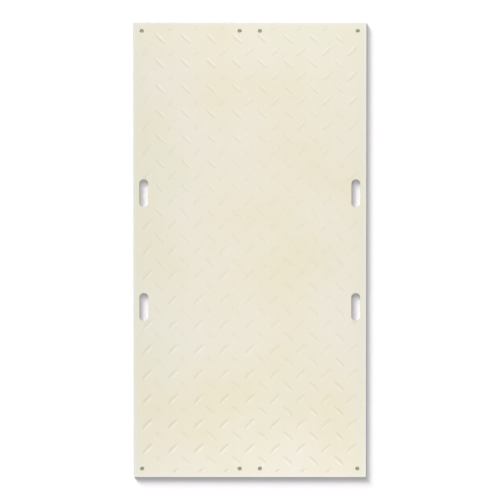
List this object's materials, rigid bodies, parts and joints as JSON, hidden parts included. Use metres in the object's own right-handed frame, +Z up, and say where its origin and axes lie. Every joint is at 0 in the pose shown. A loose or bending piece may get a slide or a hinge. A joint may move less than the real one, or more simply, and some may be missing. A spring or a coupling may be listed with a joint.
{
  "type": "ground protection mat",
  "caption": "Flat rectangular board laid as a temporary roadway, with a raised lozenge tread, hand slots in its long sides and bolt holes across both ends.",
  "frame": {"origin": "centre of the flat underside", "axes": "+X across the width, +Y along the length, +Z up through the thickness to the tread"},
  "size_m": [1.219, 2.438, 0.017],
  "materials": {
    "polyethylene": "matte"
  },
  "bodies": {
    "root": {"mat": "polyethylene"}
  },
  "joints": []
}
